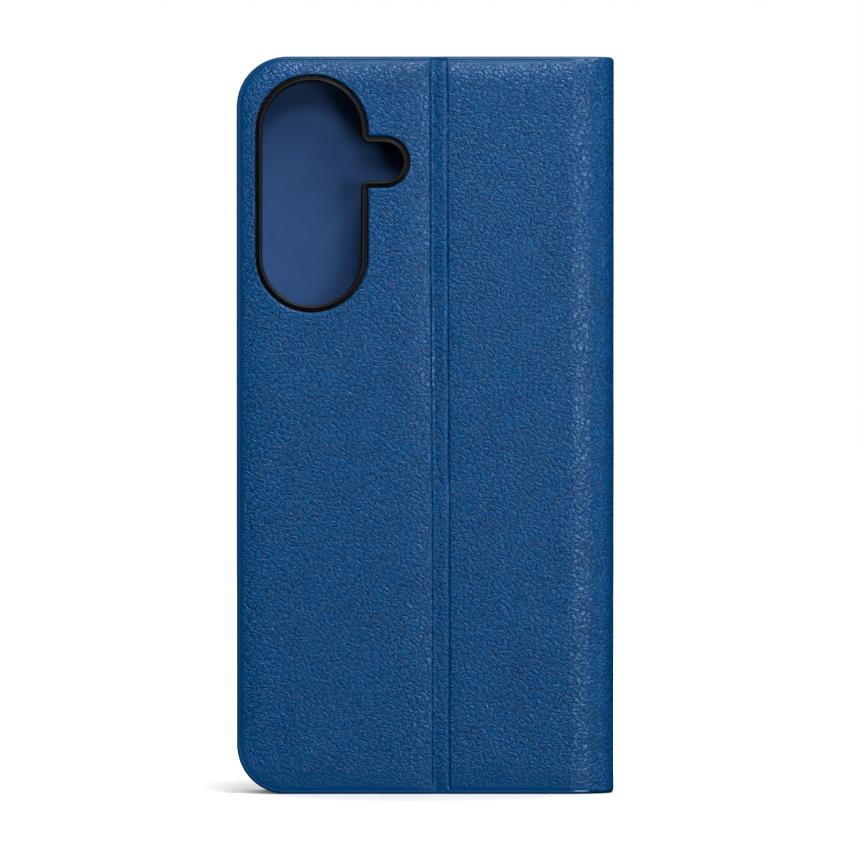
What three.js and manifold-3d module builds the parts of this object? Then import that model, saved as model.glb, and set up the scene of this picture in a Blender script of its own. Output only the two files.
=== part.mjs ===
// A folio wallet case for a phone, closed and standing upright on its short bottom edge.
// x runs across the back from the free edge (-) to the spine (+), y runs from the back face to the
// front cover, and z is up. Lengths are millimetres. Inside the case group y is counted from the
// outer back face, and the group is moved so that the origin is at the centre of the bottom.
import * as THREE from "three";
import { mergeVertices } from "three/addons/utils/BufferGeometryUtils.js";
import Module from "manifold-3d";

const wasm = await Module();
wasm.setup();

// The closed case.
const HEIGHT = 167;
const WIDTH = 85.5;
const THICKNESS = 16.6;
const FREE_EDGE = -WIDTH / 2;
const SPINE_FACE = WIDTH / 2;
const FREE_CORNER_RADIUS = 11.3;

// The layers of a panel, from its outer face inwards. The glue lines keep the layers apart.
const SKIN = 0.8;
const BOARD = 1.0;
const LINING = 0.4;
const GLUE = 0.05;
const BOARD_FROM = SKIN + GLUE;
const BOARD_TO = BOARD_FROM + BOARD;
const LINING_FROM = BOARD_TO + GLUE;
const LINING_TO = LINING_FROM + LINING;
const RIM = 0.9; // width of the skin turned round the edge of a board
const LINING_INSET = 1.1;

// The two creases of the back are parallel fold lines.
const CREASE_A = 1.7;
const CREASE_B = 5.3;
const CREASE_GAP = 0.3; // open line between skins that turn against each other
const CREASE_MARGIN = 1.2; // width beside a crease that holds no board
const STRIP_DEPTH = 0.15; // how far the strip between the creases lies below the back face

// A spine fold leads from a panel to the spine. It starts gently and tightens as it turns: its
// heading grows with the square of the distance along it, up to a right angle.
const FOLD_DEPTH = 6;
const FOLD_STEPS = 24;
const FOLD_SPLIT = 17; // the step at which the skins of panel and spine part
const FOLD_COURSE = foldCourse();
const FOLD_X = SPINE_FACE - FOLD_COURSE[FOLD_STEPS].across;
const BOARD_END = FOLD_X + 1;

// The phone is about 162.2 x 77.5 x 7.4, and lies in a moulded tray.
const PHONE_SPACE = { width: 77.7, height: 162.4, depth: 7.6 };
const TRAY_WALL = 1.1;
const TRAY_FLOOR = 1.2;
const TRAY_BACK = 2.65;
const TRAY_LIP = { depth: 0.8, inset: 0.9 };
const TRAY_LEFT = FREE_EDGE + 1.55;
const TRAY_BOTTOM = (HEIGHT - PHONE_SPACE.height) / 2 - TRAY_WALL;
const SPACE_LEFT = TRAY_LEFT + TRAY_WALL;
const SPACE_RIGHT = SPACE_LEFT + PHONE_SPACE.width;
const SPACE_BOTTOM = TRAY_BOTTOM + TRAY_WALL;
const SPACE_TOP = SPACE_BOTTOM + PHONE_SPACE.height;
const SPACE_CORNER_RADIUS = 9.2;
const SPACE_BACK = TRAY_BACK + TRAY_FLOOR;
const SPACE_FRONT = SPACE_BACK + PHONE_SPACE.depth;
const TRAY_FRONT = SPACE_FRONT + TRAY_LIP.depth;
const TRAY_MIDDLE_X = (SPACE_LEFT + SPACE_RIGHT) / 2;
const PORT_Y = (SPACE_BACK + SPACE_FRONT) / 2;

// The camera opening through the tray: an upright pill, from which a bay with a round end reaches
// to the flash lamp.
const CAMERA = { x: -25.8, bottom: 121.8, top: 150.1, radius: 11.2 };
const FLASH = { x: -9.35, z: 143.1, radius: 4.25 };
const BAY_FILLET = 2;
const CAMERA_LIP = { width: 1.35, back: 0.2 };
const CAMERA_CLEARANCE = 0.25;
const PANEL_CUT = CAMERA_LIP.width + CAMERA_CLEARANCE;

// The openings in the bottom wall, each as a centre beside the middle and a size across and deep.
const BOTTOM_PORTS = [
  { offset: 0, width: 13, depth: 6.4 },
  { offset: 17.5, width: 14, depth: 2.6 },
  { offset: -12.5, width: 3, depth: 2.6 },
];
const TOP_PORT = { offset: 14, width: 3, depth: 2.6 };

// The key pads slide in slots of the free-edge wall.
const KEY_PADS = [
  { name: "volume_key_pad", middle: 124, length: 23 },
  { name: "power_key_pad", middle: 102, length: 12.5 },
];
const KEY_DEPTH = 3.0;
const KEY_CLEARANCE = 0.25;
const KEY_PROUD = 0.6;

// Magnets sealed in the boards near the free edge, and the layers of the cover's pockets.
const MAGNET = { width: 4, length: 14, x: -38.8, heights: [38, 88] };
const MAGNET_CLEARANCE = 0.1;
const POCKET_LAYER = 0.4;
const CASH_POCKET = { left: -39.7, right: 26.8, margin: 4, radius: 8 };
const CARD_POCKETS = [
  { name: "card_pocket_rear", bottom: 16, top: 101 },
  { name: "card_pocket_front", bottom: 8, top: 88 },
];
const CARD_POCKET_X = { left: -34.2, right: 25.8 };
const THUMB_NOTCH_RADIUS = 9;

const CURVE_STEPS = 10;
const PAST = 1; // how far a cutting solid runs past the face that it cuts

const MATERIALS = {
  leather: new THREE.MeshStandardMaterial({ color: 0x1c4775, roughness: 0.55, metalness: 0 }),
  board: new THREE.MeshStandardMaterial({ color: 0x8a7f70, roughness: 0.9, metalness: 0 }),
  lining: new THREE.MeshStandardMaterial({ color: 0x20335f, roughness: 0.95, metalness: 0 }),
  adhesive: new THREE.MeshStandardMaterial({ color: 0xc8c4b4, roughness: 0.6, metalness: 0 }),
  tray: new THREE.MeshStandardMaterial({ color: 0x14100f, roughness: 0.45, metalness: 0 }),
  magnet: new THREE.MeshStandardMaterial({ color: 0xb4b6b8, roughness: 0.3, metalness: 1 }),
};

// Solids: three.js geometry joined and cut as closed manifolds.

function toSolid(geometry) {
  const bare = geometry.clone();
  bare.deleteAttribute("normal");
  bare.deleteAttribute("uv");
  const merged = mergeVertices(bare);
  return new wasm.Manifold(
    new wasm.Mesh({
      numProp: 3,
      vertProperties: new Float32Array(merged.attributes.position.array),
      triVerts: new Uint32Array(merged.index.array),
    }),
  );
}

function toGeometry(solid) {
  const mesh = solid.getMesh();
  return new THREE.BufferGeometry()
    .setAttribute("position", new THREE.BufferAttribute(mesh.vertProperties, 3))
    .setIndex(new THREE.BufferAttribute(mesh.triVerts, 1));
}

function join(solids) {
  return solids.reduce((whole, solid) => whole.add(solid));
}

function cut(solid, cutters) {
  return cutters.reduce((rest, cutter) => rest.subtract(cutter), solid);
}

// A flat sheet whose outline is a shape in (x, z), between two values of y.
function sheet(outline, yFrom, yTo) {
  const geometry = new THREE.ExtrudeGeometry(outline, {
    depth: yTo - yFrom,
    bevelEnabled: false,
    curveSegments: CURVE_STEPS,
  });
  return toSolid(geometry.rotateX(Math.PI / 2).translate(0, yTo, 0));
}

// A bar whose section is a shape in (x, y), between two heights.
function bar(section, zFrom, zTo) {
  const geometry = new THREE.ExtrudeGeometry(section, {
    depth: zTo - zFrom,
    bevelEnabled: false,
  });
  return toSolid(geometry.translate(0, 0, zFrom));
}

function block(xFrom, xTo, yFrom, yTo, zFrom, zTo) {
  const geometry = new THREE.BoxGeometry(xTo - xFrom, yTo - yFrom, zTo - zFrom);
  return toSolid(
    geometry.translate((xFrom + xTo) / 2, (yFrom + yTo) / 2, (zFrom + zTo) / 2),
  );
}

// Outlines in (x, z).

// A panel that is round at the two corners of its free edge and square at its other side.
function panelOutline(left, right, inset, radius) {
  const bottom = inset;
  const top = HEIGHT - inset;
  const outline = new THREE.Shape();
  outline.moveTo(right, bottom);
  outline.lineTo(right, top);
  outline.absarc(left + radius, top - radius, radius, Math.PI / 2, Math.PI);
  outline.absarc(left + radius, bottom + radius, radius, Math.PI, 1.5 * Math.PI);
  outline.closePath();
  return outline;
}

function roundedRectangle(left, right, bottom, top, radius) {
  const outline = new THREE.Shape();
  outline.absarc(right - radius, bottom + radius, radius, -Math.PI / 2, 0);
  outline.absarc(right - radius, top - radius, radius, 0, Math.PI / 2);
  outline.absarc(left + radius, top - radius, radius, Math.PI / 2, Math.PI);
  outline.absarc(left + radius, bottom + radius, radius, Math.PI, 1.5 * Math.PI);
  outline.closePath();
  return outline;
}

// The camera opening grown by an offset. A fillet on each side leads from the pill to the bay.
function cameraOutline(offset) {
  const pill = CAMERA.radius + offset;
  const bay = FLASH.radius + offset;
  const fillet = BAY_FILLET - offset;
  const filletX = CAMERA.x + CAMERA.radius + BAY_FILLET;
  const filletRise = FLASH.radius + BAY_FILLET;
  const quarter = Math.PI / 2;
  const outline = new THREE.Shape();
  outline.absarc(CAMERA.x, CAMERA.bottom, pill, Math.PI, 2 * Math.PI);
  outline.absarc(filletX, FLASH.z - filletRise, fillet, Math.PI, quarter, true);
  outline.absarc(FLASH.x, FLASH.z, bay, -quarter, quarter);
  outline.absarc(filletX, FLASH.z + filletRise, fillet, -quarter, -Math.PI, true);
  outline.absarc(CAMERA.x, CAMERA.top, pill, 0, Math.PI);
  outline.closePath();
  return outline;
}

function cameraCut(offset, yFrom, yTo) {
  return sheet(cameraOutline(offset), yFrom - PAST, yTo + PAST);
}

// Sections in (x, y). The depth is counted from the outer face of the back or of the cover.

// Places a depth behind the outer face of the back, or in front of the cover's for "front".
function yAt(depth, side) {
  return side === "front" ? THICKNESS - depth : depth;
}

// The outer line of a spine fold: how far across and how deep each step lies, and its heading.
function foldCourse() {
  const headingAt = (share) => (Math.PI / 2) * share ** 2;
  const course = [{ across: 0, deep: 0, heading: 0 }];
  for (let step = 1; step <= FOLD_STEPS; step++) {
    const last = course[step - 1];
    const middle = headingAt((step - 0.5) / FOLD_STEPS);
    course.push({
      across: last.across + Math.cos(middle),
      deep: last.deep + Math.sin(middle),
      heading: headingAt(step / FOLD_STEPS),
    });
  }
  const scale = FOLD_DEPTH / course[FOLD_STEPS].deep;
  return course.map(({ across, deep, heading }) => ({
    across: across * scale,
    deep: deep * scale,
    heading,
  }));
}

// Points at a depth below the outer line of a spine fold, from one step to another.
function foldPoints(depth, fromStep, toStep, side) {
  return FOLD_COURSE.slice(fromStep, toStep + 1).map(({ across, deep, heading }) => {
    const x = FOLD_X + across - depth * Math.sin(heading);
    return new THREE.Vector2(x, yAt(deep + depth * Math.cos(heading), side));
  });
}

// The skin of a panel from one x to its half of the spine fold.
function panelSkinSection(left, side) {
  return new THREE.Shape([
    new THREE.Vector2(left, yAt(0, side)),
    ...foldPoints(0, 0, FOLD_SPLIT, side),
    ...foldPoints(SKIN, 0, FOLD_SPLIT, side).reverse(),
    new THREE.Vector2(left, yAt(SKIN, side)),
  ]);
}

// The skin of the spine, with its half of each fold.
function spineSkinSection() {
  const start = FOLD_SPLIT + 1;
  return new THREE.Shape([
    ...foldPoints(0, start, FOLD_STEPS, "back"),
    ...foldPoints(0, start, FOLD_STEPS, "front").reverse(),
    ...foldPoints(SKIN, start, FOLD_STEPS, "front"),
    ...foldPoints(SKIN, start, FOLD_STEPS, "back").reverse(),
  ]);
}

// Solids between two depths of the back or of the cover.
function panelSheet(outline, depthFrom, depthTo, side) {
  const ends = [yAt(depthFrom, side), yAt(depthTo, side)];
  return sheet(outline, Math.min(...ends), Math.max(...ends));
}

function named(name, solid, material) {
  const mesh = new THREE.Mesh(toGeometry(solid), material);
  mesh.name = name;
  return mesh;
}

// The slots in a board that hold the magnets.
function magnetBlocks(clearance, side) {
  return MAGNET.heights.map((height) => {
    const halfWidth = MAGNET.width / 2 + clearance;
    const halfLength = MAGNET.length / 2 + clearance;
    const ends = [yAt(BOARD_FROM - clearance, side), yAt(BOARD_TO + clearance, side)];
    return block(
      MAGNET.x - halfWidth,
      MAGNET.x + halfWidth,
      Math.min(...ends),
      Math.max(...ends),
      height - halfLength,
      height + halfLength,
    );
  });
}

function magnets(prefix, side) {
  const places = ["lower", "upper"];
  return magnetBlocks(0, side).map((solid, index) =>
    named(`${prefix}_magnet_${places[index]}`, solid, MATERIALS.magnet),
  );
}

// Camera half of the back: skin, board, lining and the pad that holds the tray.
function cameraHalf() {
  const half = new THREE.Group();
  const edge = CREASE_A - CREASE_GAP / 2;
  const boardEdge = CREASE_A - CREASE_MARGIN;
  const insideRadius = FREE_CORNER_RADIUS - RIM;
  const skin = cut(
    sheet(panelOutline(FREE_EDGE, edge, 0, FREE_CORNER_RADIUS), 0, BOARD_TO),
    [
      sheet(panelOutline(FREE_EDGE + RIM, edge + PAST, RIM, insideRadius), SKIN, BOARD_TO + PAST),
      cameraCut(PANEL_CUT, 0, BOARD_TO),
    ],
  );
  half.add(named("camera_half_skin", skin, MATERIALS.leather));

  const boardInset = RIM + GLUE;
  const boardRadius = FREE_CORNER_RADIUS - boardInset;
  const boardOutline = panelOutline(FREE_EDGE + boardInset, boardEdge, boardInset, boardRadius);
  const board = cut(sheet(boardOutline, BOARD_FROM, BOARD_TO), [
    cameraCut(PANEL_CUT, BOARD_FROM, BOARD_TO),
    ...magnetBlocks(MAGNET_CLEARANCE, "back"),
  ]);
  half.add(named("camera_half_board", board, MATERIALS.board));

  const liningRadius = FREE_CORNER_RADIUS - LINING_INSET;
  const liningOutline = panelOutline(FREE_EDGE + LINING_INSET, edge, LINING_INSET, liningRadius);
  const lining = cut(sheet(liningOutline, LINING_FROM, LINING_TO), [
    cameraCut(PANEL_CUT, LINING_FROM, LINING_TO),
  ]);
  half.add(named("camera_half_lining", lining, MATERIALS.lining));

  const padMargin = 4;
  const padOutline = roundedRectangle(
    TRAY_LEFT + padMargin / 2,
    boardEdge - padMargin / 2,
    TRAY_BOTTOM + padMargin,
    HEIGHT - TRAY_BOTTOM - padMargin,
    SPACE_CORNER_RADIUS - padMargin / 2,
  );
  const padFrom = LINING_TO + GLUE;
  const padTo = TRAY_BACK - GLUE;
  const cameraCutForPad = cameraCut(PANEL_CUT, padFrom, padTo);
  const pad = cut(sheet(padOutline, padFrom, padTo), [cameraCutForPad]);
  half.add(named("tray_adhesive_pad", pad, MATERIALS.adhesive));

  half.add(...magnets("back", "back"));
  return half;
}

// A slot through the bottom or top wall of the tray.
function wallPort({ offset, width, depth }, zFrom, zTo) {
  const middle = TRAY_MIDDLE_X + offset;
  const cornerRadius = 0.45 * depth;
  const section = roundedRectangle(
    middle - width / 2,
    middle + width / 2,
    PORT_Y - depth / 2,
    PORT_Y + depth / 2,
    cornerRadius,
  );
  return bar(section, zFrom - PAST, zTo + PAST);
}

// A slot or pad in the free-edge wall, long in z, with its outline in (y, z).
function keyBlock({ middle, length }, grow, xFrom, xTo) {
  const halfDepth = KEY_DEPTH / 2 + grow;
  const halfLength = length / 2 + grow;
  return block(
    xFrom,
    xTo,
    PORT_Y - halfDepth,
    PORT_Y + halfDepth,
    middle - halfLength,
    middle + halfLength,
  );
}

// The moulded tray that holds the phone, with the raised lip that fills the cut in the back.
function phoneTray() {
  const radius = SPACE_CORNER_RADIUS;
  const outer = roundedRectangle(
    TRAY_LEFT,
    SPACE_RIGHT + TRAY_WALL,
    TRAY_BOTTOM,
    SPACE_TOP + TRAY_WALL,
    radius + TRAY_WALL,
  );
  const space = roundedRectangle(SPACE_LEFT, SPACE_RIGHT, SPACE_BOTTOM, SPACE_TOP, radius);
  const mouth = roundedRectangle(
    SPACE_LEFT + TRAY_LIP.inset,
    SPACE_RIGHT - TRAY_LIP.inset,
    SPACE_BOTTOM + TRAY_LIP.inset,
    SPACE_TOP - TRAY_LIP.inset,
    radius - TRAY_LIP.inset,
  );
  const lip = sheet(cameraOutline(CAMERA_LIP.width), CAMERA_LIP.back, TRAY_BACK + TRAY_FLOOR / 2);
  return cut(join([sheet(outer, TRAY_BACK, TRAY_FRONT), lip]), [
    sheet(space, SPACE_BACK, SPACE_FRONT),
    sheet(mouth, SPACE_FRONT - GLUE, TRAY_FRONT + PAST),
    cameraCut(0, CAMERA_LIP.back, SPACE_BACK),
    ...BOTTOM_PORTS.map((port) => wallPort(port, TRAY_BOTTOM, SPACE_BOTTOM)),
    wallPort(TOP_PORT, SPACE_TOP, SPACE_TOP + TRAY_WALL),
    ...KEY_PADS.map((pad) => keyBlock(pad, KEY_CLEARANCE, TRAY_LEFT - PAST, SPACE_LEFT + PAST)),
  ]);
}

function keyPads() {
  return KEY_PADS.map((pad) => {
    const solid = keyBlock(pad, 0, TRAY_LEFT - KEY_PROUD, SPACE_LEFT - GLUE);
    return named(pad.name, solid, MATERIALS.tray);
  });
}

// The narrow strip between the creases: skin and lining only, so that it can fold.
function creaseStrip() {
  const strip = new THREE.Group();
  const left = CREASE_A + CREASE_GAP / 2;
  const right = CREASE_B - CREASE_GAP / 2;
  const skinTo = STRIP_DEPTH + SKIN;
  const skin = block(left, right, STRIP_DEPTH, skinTo, 0, HEIGHT);
  strip.add(named("crease_strip_skin", skin, MATERIALS.leather));
  const liningFrom = skinTo + GLUE;
  const lining = block(
    left,
    right,
    liningFrom,
    liningFrom + LINING,
    LINING_INSET,
    HEIGHT - LINING_INSET,
  );
  strip.add(named("crease_strip_lining", lining, MATERIALS.lining));
  return strip;
}

// Free half of the back, between the creases and the spine. It folds away as a stand.
function standFlap() {
  const flap = new THREE.Group();
  const left = CREASE_B + CREASE_GAP / 2;
  const boardLeft = CREASE_B + CREASE_MARGIN;
  const rimFrom = SKIN / 2;
  const skin = join([
    bar(panelSkinSection(left, "back"), 0, HEIGHT),
    block(left, BOARD_END, rimFrom, BOARD_TO, 0, RIM),
    block(left, BOARD_END, rimFrom, BOARD_TO, HEIGHT - RIM, HEIGHT),
  ]);
  flap.add(named("stand_flap_skin", skin, MATERIALS.leather));
  const boardInset = RIM + GLUE;
  const board = block(
    boardLeft,
    BOARD_END,
    BOARD_FROM,
    BOARD_TO,
    boardInset,
    HEIGHT - boardInset,
  );
  flap.add(named("stand_flap_board", board, MATERIALS.board));
  const lining = block(
    left,
    BOARD_END,
    LINING_FROM,
    LINING_TO,
    LINING_INSET,
    HEIGHT - LINING_INSET,
  );
  flap.add(named("stand_flap_lining", lining, MATERIALS.lining));
  return flap;
}

// The spine stands across the thickness of the case.
function spine() {
  const group = new THREE.Group();
  const backEdge = FOLD_DEPTH;
  const frontEdge = THICKNESS - FOLD_DEPTH;
  const rimSide = [SPINE_FACE - BOARD_TO, SPINE_FACE - SKIN / 2];
  const skin = join([
    bar(spineSkinSection(), 0, HEIGHT),
    block(...rimSide, backEdge, frontEdge, 0, RIM),
    block(...rimSide, backEdge, frontEdge, HEIGHT - RIM, HEIGHT),
  ]);
  group.add(named("spine_skin", skin, MATERIALS.leather));
  const boardInset = RIM + GLUE;
  const board = block(
    SPINE_FACE - BOARD_TO,
    SPINE_FACE - BOARD_FROM,
    backEdge,
    frontEdge,
    boardInset,
    HEIGHT - boardInset,
  );
  group.add(named("spine_board", board, MATERIALS.board));
  const lining = block(
    SPINE_FACE - LINING_TO,
    SPINE_FACE - LINING_FROM,
    backEdge,
    frontEdge,
    LINING_INSET,
    HEIGHT - LINING_INSET,
  );
  group.add(named("spine_lining", lining, MATERIALS.lining));
  return group;
}

// A card pocket: a sheet sewn to the cover on three sides, with a thumb notch in its open top.
function cardPocketOutline({ bottom, top }) {
  const { left, right } = CARD_POCKET_X;
  const middle = (left + right) / 2;
  const outline = new THREE.Shape();
  outline.moveTo(left, bottom);
  outline.lineTo(right, bottom);
  outline.lineTo(right, top);
  outline.absarc(middle, top, THUMB_NOTCH_RADIUS, 0, -Math.PI, true);
  outline.lineTo(left, top);
  outline.closePath();
  return outline;
}

// Front cover: skin, board and lining, with the cash pocket and the card pockets on its inside.
function frontCover() {
  const cover = new THREE.Group();
  const side = "front";
  const freeEnd = panelOutline(FREE_EDGE, SPINE_FACE, 0, FREE_CORNER_RADIUS);
  const insideRadius = FREE_CORNER_RADIUS - RIM;
  const rim = panelSheet(
    panelOutline(FREE_EDGE, BOARD_END, 0, FREE_CORNER_RADIUS),
    SKIN / 2,
    BOARD_TO,
    side,
  );
  const insideRim = panelOutline(FREE_EDGE + RIM, BOARD_END + PAST, RIM, insideRadius);
  const skin = join([
    bar(panelSkinSection(FREE_EDGE, side), 0, HEIGHT).intersect(
      sheet(freeEnd, THICKNESS - FOLD_DEPTH, THICKNESS + PAST),
    ),
    cut(rim, [panelSheet(insideRim, 0, BOARD_TO + PAST, side)]),
  ]);
  cover.add(named("cover_skin", skin, MATERIALS.leather));

  const boardInset = RIM + GLUE;
  const boardRadius = FREE_CORNER_RADIUS - boardInset;
  const boardOutline = panelOutline(FREE_EDGE + boardInset, BOARD_END, boardInset, boardRadius);
  const board = cut(
    panelSheet(boardOutline, BOARD_FROM, BOARD_TO, side),
    magnetBlocks(MAGNET_CLEARANCE, side),
  );
  cover.add(named("cover_board", board, MATERIALS.board));

  const liningRadius = FREE_CORNER_RADIUS - LINING_INSET;
  const liningOutline = panelOutline(
    FREE_EDGE + LINING_INSET,
    BOARD_END,
    LINING_INSET,
    liningRadius,
  );
  const lining = panelSheet(liningOutline, LINING_FROM, LINING_TO, side);
  cover.add(named("cover_lining", lining, MATERIALS.lining));

  const cashOutline = panelOutline(
    CASH_POCKET.left,
    CASH_POCKET.right,
    CASH_POCKET.margin,
    CASH_POCKET.radius,
  );
  const layerPitch = POCKET_LAYER + GLUE;
  const cashFrom = LINING_TO + GLUE;
  const cash = panelSheet(cashOutline, cashFrom, cashFrom + POCKET_LAYER, side);
  cover.add(named("cash_pocket", cash, MATERIALS.lining));

  CARD_POCKETS.forEach((pocket, index) => {
    const from = cashFrom + (index + 1) * layerPitch;
    const solid = panelSheet(cardPocketOutline(pocket), from, from + POCKET_LAYER, side);
    cover.add(named(pocket.name, solid, MATERIALS.leather));
  });
  cover.add(...magnets("cover", side));
  return cover;
}

const walletCase = new THREE.Group();
walletCase.position.y = -THICKNESS / 2;
walletCase.add(
  cameraHalf(),
  named("phone_tray", phoneTray(), MATERIALS.tray),
  ...keyPads(),
  creaseStrip(),
  standFlap(),
  spine(),
  frontCover(),
);

export default walletCase;
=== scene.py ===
"""Looks of the phone wallet case: embossed leather-look sheet, linings, pockets and moulded tray.

The leather is one sheet that wraps from the back round the spine to the front cover. A place on
it is given by s, the length along its outer face (equal to x on the back), and by z. Lengths in
the design values are millimetres, and the meshes are made in metres in the frame of the CAD part.
"""

import math

import bmesh
import bpy
import numpy as np
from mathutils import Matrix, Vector, noise
from mathutils.geometry import delaunay_2d_cdt


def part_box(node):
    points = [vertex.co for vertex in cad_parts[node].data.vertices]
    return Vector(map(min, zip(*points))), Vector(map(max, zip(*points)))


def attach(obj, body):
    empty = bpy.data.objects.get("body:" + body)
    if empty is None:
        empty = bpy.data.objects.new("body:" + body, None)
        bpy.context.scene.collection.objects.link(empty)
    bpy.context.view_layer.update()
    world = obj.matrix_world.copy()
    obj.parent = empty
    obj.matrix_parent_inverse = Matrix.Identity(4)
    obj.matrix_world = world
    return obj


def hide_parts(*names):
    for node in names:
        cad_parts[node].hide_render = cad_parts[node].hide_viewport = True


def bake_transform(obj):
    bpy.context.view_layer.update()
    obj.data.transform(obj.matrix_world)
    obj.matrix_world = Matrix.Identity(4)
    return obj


MM = 0.001

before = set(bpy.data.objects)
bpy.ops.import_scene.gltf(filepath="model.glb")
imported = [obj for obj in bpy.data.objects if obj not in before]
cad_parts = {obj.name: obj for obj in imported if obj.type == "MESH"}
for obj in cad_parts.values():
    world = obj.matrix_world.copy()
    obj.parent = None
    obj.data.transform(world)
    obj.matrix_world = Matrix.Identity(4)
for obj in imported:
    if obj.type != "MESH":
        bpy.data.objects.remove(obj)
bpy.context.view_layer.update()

# ---------------------------------------------------------------- design values


def box_mm(node):
    """Lowest and highest corner of a CAD node in millimetres."""
    return [np.array(corner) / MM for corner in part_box(node)]


PANEL_LOW, PANEL_HIGH = box_mm("camera_half_skin")
STRIP_LOW, STRIP_HIGH = box_mm("crease_strip_skin")
TRAY_LOW, TRAY_HIGH = box_mm("phone_tray")

HEIGHT = PANEL_HIGH[2]
BACK = PANEL_LOW[1]
THICKNESS = box_mm("cover_skin")[1][1] - BACK
FREE_EDGE = PANEL_LOW[0]
SPINE_FACE = box_mm("spine_skin")[1][0]
CORNER_RADIUS = 11.3

# The leather is a skin with a deeper rim turned over the edges of the boards, and the lining
# covers the boards and laps onto the rim.
SKIN = 0.8
RIM_DEPTH = 1.85
RIM_WIDTH = 0.85
LINING = 0.4
LINING_DEPTH = 1.9
LINING_INSET = 0.8

# The middles of the creases, which lie in the gaps beside the crease strip.
CREASE_GAP = 0.3
CREASE_A = STRIP_LOW[0] - CREASE_GAP / 2
CREASE_B = STRIP_HIGH[0] + CREASE_GAP / 2
STRIP_DEPTH = STRIP_LOW[1] - BACK

# The spine folds turn through a right angle, and tighten towards the spine.
FOLD_DEPTH = 6.0
FOLD_SHARES = np.linspace(0, 1, 401)
FOLD_HEADINGS = np.pi / 2 * FOLD_SHARES**2


def running_sum(values):
    """Integral of values over the shares of the fold, from 0."""
    steps = (values[1:] + values[:-1]) / 2 * np.diff(FOLD_SHARES)
    return np.concatenate([[0], np.cumsum(steps)])


FOLD_LENGTH = FOLD_DEPTH / running_sum(np.sin(FOLD_HEADINGS))[-1]
FOLD_ACROSS = FOLD_LENGTH * running_sum(np.cos(FOLD_HEADINGS))
FOLD_DEEP = FOLD_LENGTH * running_sum(np.sin(FOLD_HEADINGS))
FOLD_X = SPINE_FACE - FOLD_ACROSS[-1]

# Where the stretches of the sheet end, as lengths along its outer face.
SPINE_FROM = FOLD_X + FOLD_LENGTH
SPINE_TO = SPINE_FROM + THICKNESS - 2 * FOLD_DEPTH
COVER_FROM = SPINE_TO + FOLD_LENGTH
SHEET_END = COVER_FROM + FOLD_X - FREE_EDGE
HALF_SPINE = (SPINE_TO - SPINE_FROM) / 2
HALF_TURN = (COVER_FROM - FOLD_X) / 2

# The boards reach a little into the folds, which bend beyond this margin.
FOLD_MARGIN = 1.6

# The rows and columns close to an edge.
EDGE_INSETS = [0, 0.1, 0.22, 0.36, 0.5, 0.64, 0.78, 0.9, 1.05, 1.25, 1.6, 2.1, 2.8, 3.6, 4.6, 5.8]
PITCH = 1.6

# The camera opening is an upright pill, from which a bay reaches to the flash lamp.
CAMERA = {"x": -25.8, "bottom": 121.8, "top": 150.1, "radius": 11.2}
FLASH = {"x": -9.35, "z": 143.1, "radius": 4.25}
BAY_FILLET = 2.0
BAY_FILLET_X = CAMERA["x"] + CAMERA["radius"] + BAY_FILLET
BAY_FILLET_RISE = FLASH["radius"] + BAY_FILLET
PANEL_CUT = 1.6

TRAY_BACK = 2.65
TRAY_FLOOR = 1.2
TRAY_WALL = 1.1
TRAY_CORNER = 10.3

# Openings of the tray's end walls: offset from its middle, width, depth, and the heights cut.
PORTS = [
    (0, 13, 6.4, 0, 3),
    (17.5, 14, 2.6, 0, 3),
    (-12.5, 3, 2.6, 0, 3),
    (14, 3, 2.6, HEIGHT - 3, HEIGHT),
]

# The leather rises from its rolled edge over a crown, and falls towards the creases.
EDGE_ROLL = 0.45
SPINE_EDGE_ROLL = 1.0
PRESSED_LINE_INSET = 0.86
CROWN = {"depth": 0.68, "from": 0.8, "width": 5.4}
FALL_BEFORE = 7.5
FALL_AFTER = 4.0
UNDULATIONS = [(0.035, 14, 1.0), (0.018, 5, 2.0)]

LEATHER_COLOUR = (0.0006, 0.069, 0.228)
LINING_COLOUR = (0.032, 0.09, 0.25)
GRAIN_HEIGHT = 0.1

SEAM_INSET = 1.6
STITCH = {"length": 2.1, "gap": 0.7, "thickness": 0.28}


# ---------------------------------------------------------------- formulas


def smooth(value, low, high):
    """0 below low and 1 above high, with a smooth step between them."""
    share = np.clip((value - low) / (high - low), 0, 1)
    return share * share * (3 - 2 * share)


def quarter_round(inset, radius):
    """Depth of a rounded edge at an inset from it."""
    inside = np.clip(radius - inset, 0, radius)
    return radius - np.sqrt(np.maximum(radius**2 - inside**2, 0))


def groove(distance, width, depth):
    """Depth of a smooth groove at a distance from its middle."""
    return depth * np.exp(-((distance / width) ** 2))


def cloud(points, size, seed):
    """Smooth noise of about -1 to 1 at points (s, z)."""
    return np.array([noise.noise(Vector((s / size, z / size, seed))) for s, z in points])


def place(points, depth):
    """Points in metres that lie a depth behind places (s, z) of the sheet."""
    s, z = points[:, 0], points[:, 1]
    mirrored = s > (SPINE_FROM + SPINE_TO) / 2
    s = np.where(mirrored, SPINE_FROM + SPINE_TO - s, s)
    share = np.clip((s - FOLD_X) / FOLD_LENGTH, 0, 1)
    heading = np.pi / 2 * share**2
    x = np.minimum(s, FOLD_X) + np.interp(share, FOLD_SHARES, FOLD_ACROSS)
    deep = np.interp(share, FOLD_SHARES, FOLD_DEEP) + np.maximum(s - SPINE_FROM, 0)
    x = x - depth * np.sin(heading)
    deep = deep + depth * np.cos(heading)
    y = BACK + np.where(mirrored, THICKNESS - deep, deep)
    return np.column_stack([x, y, z]) * MM


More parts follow.
